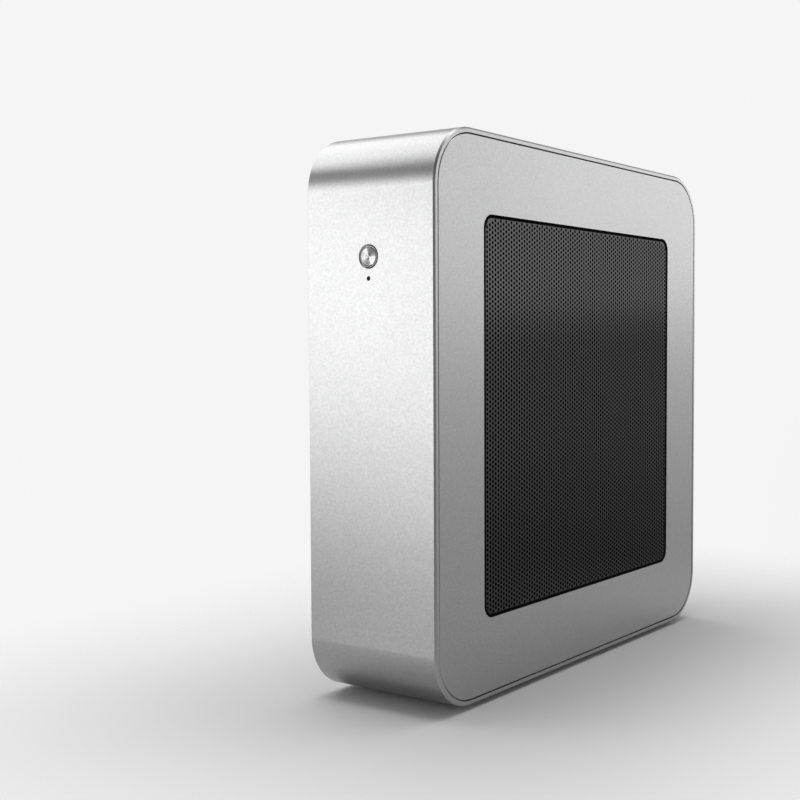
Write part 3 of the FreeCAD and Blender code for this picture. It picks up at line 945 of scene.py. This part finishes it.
# Feet: four moulded rubber pads bonded under the shell.
# Each has a rounded edge and a shallow hollow in its sole.
FOOT_RADIUS = 5.0
FOOT_HEIGHT = 1.8
SOLE_HOLLOW = 0.3
rubber = grained_material(
    "foot_rubber",
    colour=(0.016, 0.016, 0.016),
    metallic=0.0,
    roughness=0.75,
    grain=0.4 * MM,
    contrast=0.4,
    depth=0.03 * MM,
    haze=0.1,
)
# Height and radius of each step, from the hollow in the sole round the edge to the bonded top.
FOOT_PROFILE = [
    (SOLE_HOLLOW, 0),
    (SOLE_HOLLOW, 2.7),
    (0.06, 3.0),
    (0.0, 3.3),
    (0.0, 4.3),
    (0.1, 4.68),
    (0.32, 4.9),
    (0.65, FOOT_RADIUS),
    (FOOT_HEIGHT, FOOT_RADIUS),
    (FOOT_HEIGHT, 0),
]
foot_loops = [turned_loop(height, radius) for height, radius in FOOT_PROFILE]
foot_mesh = loft("foot", foot_loops, sharp_angle=35)
foot_nodes = [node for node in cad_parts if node.startswith("foot_")]
foot_places = []
for node in foot_nodes:
    low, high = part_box(node)
    foot_places.append(((low[0] + high[0]) / 2, (low[1] + high[1]) / 2, low[2]))
feet = repeat_piece("rubber_feet", foot_mesh, foot_places, rubber)
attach(feet, "case")
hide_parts(*foot_nodes)

# Floor: a sheet of pale studio paper that the case stands on.
# Away from the case it thins out into the backdrop, so that no edge of it shows.
FLOOR_REACH = 0.95
FLOOR_FADE = 0.22
PAPER_TONE = 0.68


def make_paper():
    """Matt paper that is opaque under the case and clear at some distance from it."""
    material, tree, shader = new_material("studio_paper")
    place = add_node(tree, "ShaderNodeTexCoord").outputs["Object"]
    footprint = (cad_box[1][0], cad_box[1][1], 0.0)
    past_case = vector_node(tree, "SUBTRACT", vector_node(tree, "ABSOLUTE", place), footprint)
    away = vector_node(tree, "LENGTH", vector_node(tree, "MAXIMUM", past_case))
    fade = ramp(tree, away, start=0.0, end=FLOOR_FADE, first=1.0, last=0.0, shape="SMOOTHSTEP")
    tree.links.new(fade, shader.inputs["Alpha"])
    shader.inputs["Base Color"].default_value = (PAPER_TONE, PAPER_TONE, PAPER_TONE, 1.0)
    shader.inputs["Roughness"].default_value = 0.9
    shader.inputs["Specular IOR Level"].default_value = 0.1
    return material


floor_mesh = bpy.data.meshes.new("floor")
floor_corners = [
    (-FLOOR_REACH, -FLOOR_REACH, 0),
    (FLOOR_REACH, -FLOOR_REACH, 0),
    (FLOOR_REACH, FLOOR_REACH, 0),
    (-FLOOR_REACH, FLOOR_REACH, 0),
]
floor_mesh.from_pydata(floor_corners, [], [(0, 1, 2, 3)])
floor_mesh.materials.append(make_paper())
floor = bpy.data.objects.new("floor", floor_mesh)
bpy.context.scene.collection.objects.link(floor)

# Surroundings: a pale backdrop behind the case, which darkens toward the viewer's side and overhead.
# Dark screens low behind on the right and low before on the left give the metal its lower tones.
BACKDROP = (-0.56, 0.83, 0.0)
RIGHT_HAND = (0.97, 0.24, 0.0)
RIGHT_BACK = (0.59, 0.81, 0.0)
FRONT_LEFT = (-0.66, -0.75, 0.0)


def light_surroundings(tree):
    """Builds the brightness of the surroundings by direction."""
    direction = add_node(tree, "ShaderNodeTexCoord").outputs["Object"]
    height = add_node(tree, "ShaderNodeSeparateXYZ", {0: direction}).outputs["Z"]

    def by_heading(heading, start, end, first, last):
        """A brightness that changes with the angle to a heading."""
        toward = vector_node(tree, "DOT_PRODUCT", direction, heading)
        return ramp(tree, toward, start, end, first, last, "SMOOTHSTEP")

    def by_height(start, end, first, last):
        """A brightness that changes with the height above or below the horizon."""
        return ramp(tree, height, start, end, first, last, "SMOOTHSTEP")

    def screened(breadth, depth):
        """What a dark screen lets through."""
        return math_node(tree, "SUBTRACT", 1.0, math_node(tree, "MULTIPLY", breadth, depth))

    backdrop = by_heading(BACKDROP, start=-0.75, end=0.55, first=0.32, last=0.913)
    beside = by_heading(RIGHT_HAND, start=0.74, end=0.97, first=0.0, last=0.3)
    around = math_node(tree, "ADD", backdrop, beside)
    overhead = by_height(start=0.26, end=0.42, first=1.0, last=0.45)
    unscreened = math_node(tree, "MULTIPLY", around, overhead)
    behind = screened(
        by_heading(RIGHT_BACK, start=0.5, end=0.95, first=0.0, last=1.0),
        by_height(start=-0.2, end=-0.03, first=0.56, last=0.12),
    )
    before = screened(
        by_heading(FRONT_LEFT, start=0.55, end=0.92, first=0.0, last=1.0),
        by_height(start=-0.26, end=-0.09, first=0.56, last=0.0),
    )
    let_through = math_node(tree, "MULTIPLY", behind, before)
    brightness = math_node(tree, "MULTIPLY", unscreened, let_through)
    tree.links.new(brightness, tree.nodes["Background"].inputs["Color"])


world = bpy.data.worlds.new("studio")
bpy.context.scene.world = world
world.use_nodes = True
light_surroundings(world.node_tree)

# Lamps: four soft boxes, one overhead, two on the left and one behind on the right.
# Each is a plain rectangle of light aimed at the case; sizes are in metres and powers in watts.


def softbox(name, place, target, width, height, power, roll=0.0):
    """Hangs one soft box, turned to its target and then rolled about its own axis by degrees."""
    data = bpy.data.lights.new(name, "AREA")
    data.shape = "RECTANGLE"
    data.size = width
    data.size_y = height
    data.energy = power
    lamp = bpy.data.objects.new(name, data)
    bpy.context.scene.collection.objects.link(lamp)
    facing = (Vector(target) - Vector(place)).to_track_quat("-Z", "Y").to_matrix().to_4x4()
    turn = Matrix.Rotation(math.radians(roll), 4, "Z")
    lamp.matrix_world = Matrix.Translation(place) @ facing @ turn


softbox("overhead", (0.0, 0.0, 1.1), (0.0, 0.001, 0.0), width=0.8, height=0.8, power=6.5)
softbox("front_left", (-0.76, -1.05, 0.205), (0, 0, 0.12), width=1.0, height=0.52, power=3.95, roll=-25)
softbox("upper_left", (-0.85, -0.05, 1.1), (0, 0, 0.1), width=1.3, height=0.55, power=4.5)
softbox("back_right", (0.62, 1.2, 0.47), (0, 0, 0.12), width=0.9, height=0.6, power=1.65)

# Camera: at the photograph's viewing angle, before the case and to its right.
# Its place, heading, pitch, roll and lens come from a fit to the outline, the rims and the vent.
CAMERA_PLACE = Vector((306.53, -476.41, 142.15)) * MM
HEADING = math.radians(33.975)
PITCH = math.radians(2.765)
ROLL = math.radians(-0.065)
LENS = 56.593
FRAME_SHIFT = -0.125
forward = Vector(
    (-math.sin(HEADING) * math.cos(PITCH), math.cos(HEADING) * math.cos(PITCH), -math.sin(PITCH))
)
level_right = Vector((math.cos(HEADING), math.sin(HEADING), 0))
level_up = level_right.cross(forward)
right = level_right * math.cos(ROLL) + level_up * math.sin(ROLL)
up = level_up * math.cos(ROLL) - level_right * math.sin(ROLL)
camera_data = bpy.data.cameras.new("camera")
camera_data.lens = LENS
camera_data.shift_x = FRAME_SHIFT
camera = bpy.data.objects.new("camera", camera_data)
bpy.context.scene.collection.objects.link(camera)
camera_turn = Matrix((right, up, -forward)).transposed().to_4x4()
camera.matrix_world = Matrix.Translation(CAMERA_PLACE) @ camera_turn
bpy.context.scene.camera = camera
bpy.context.scene.view_settings.view_transform = "Standard"
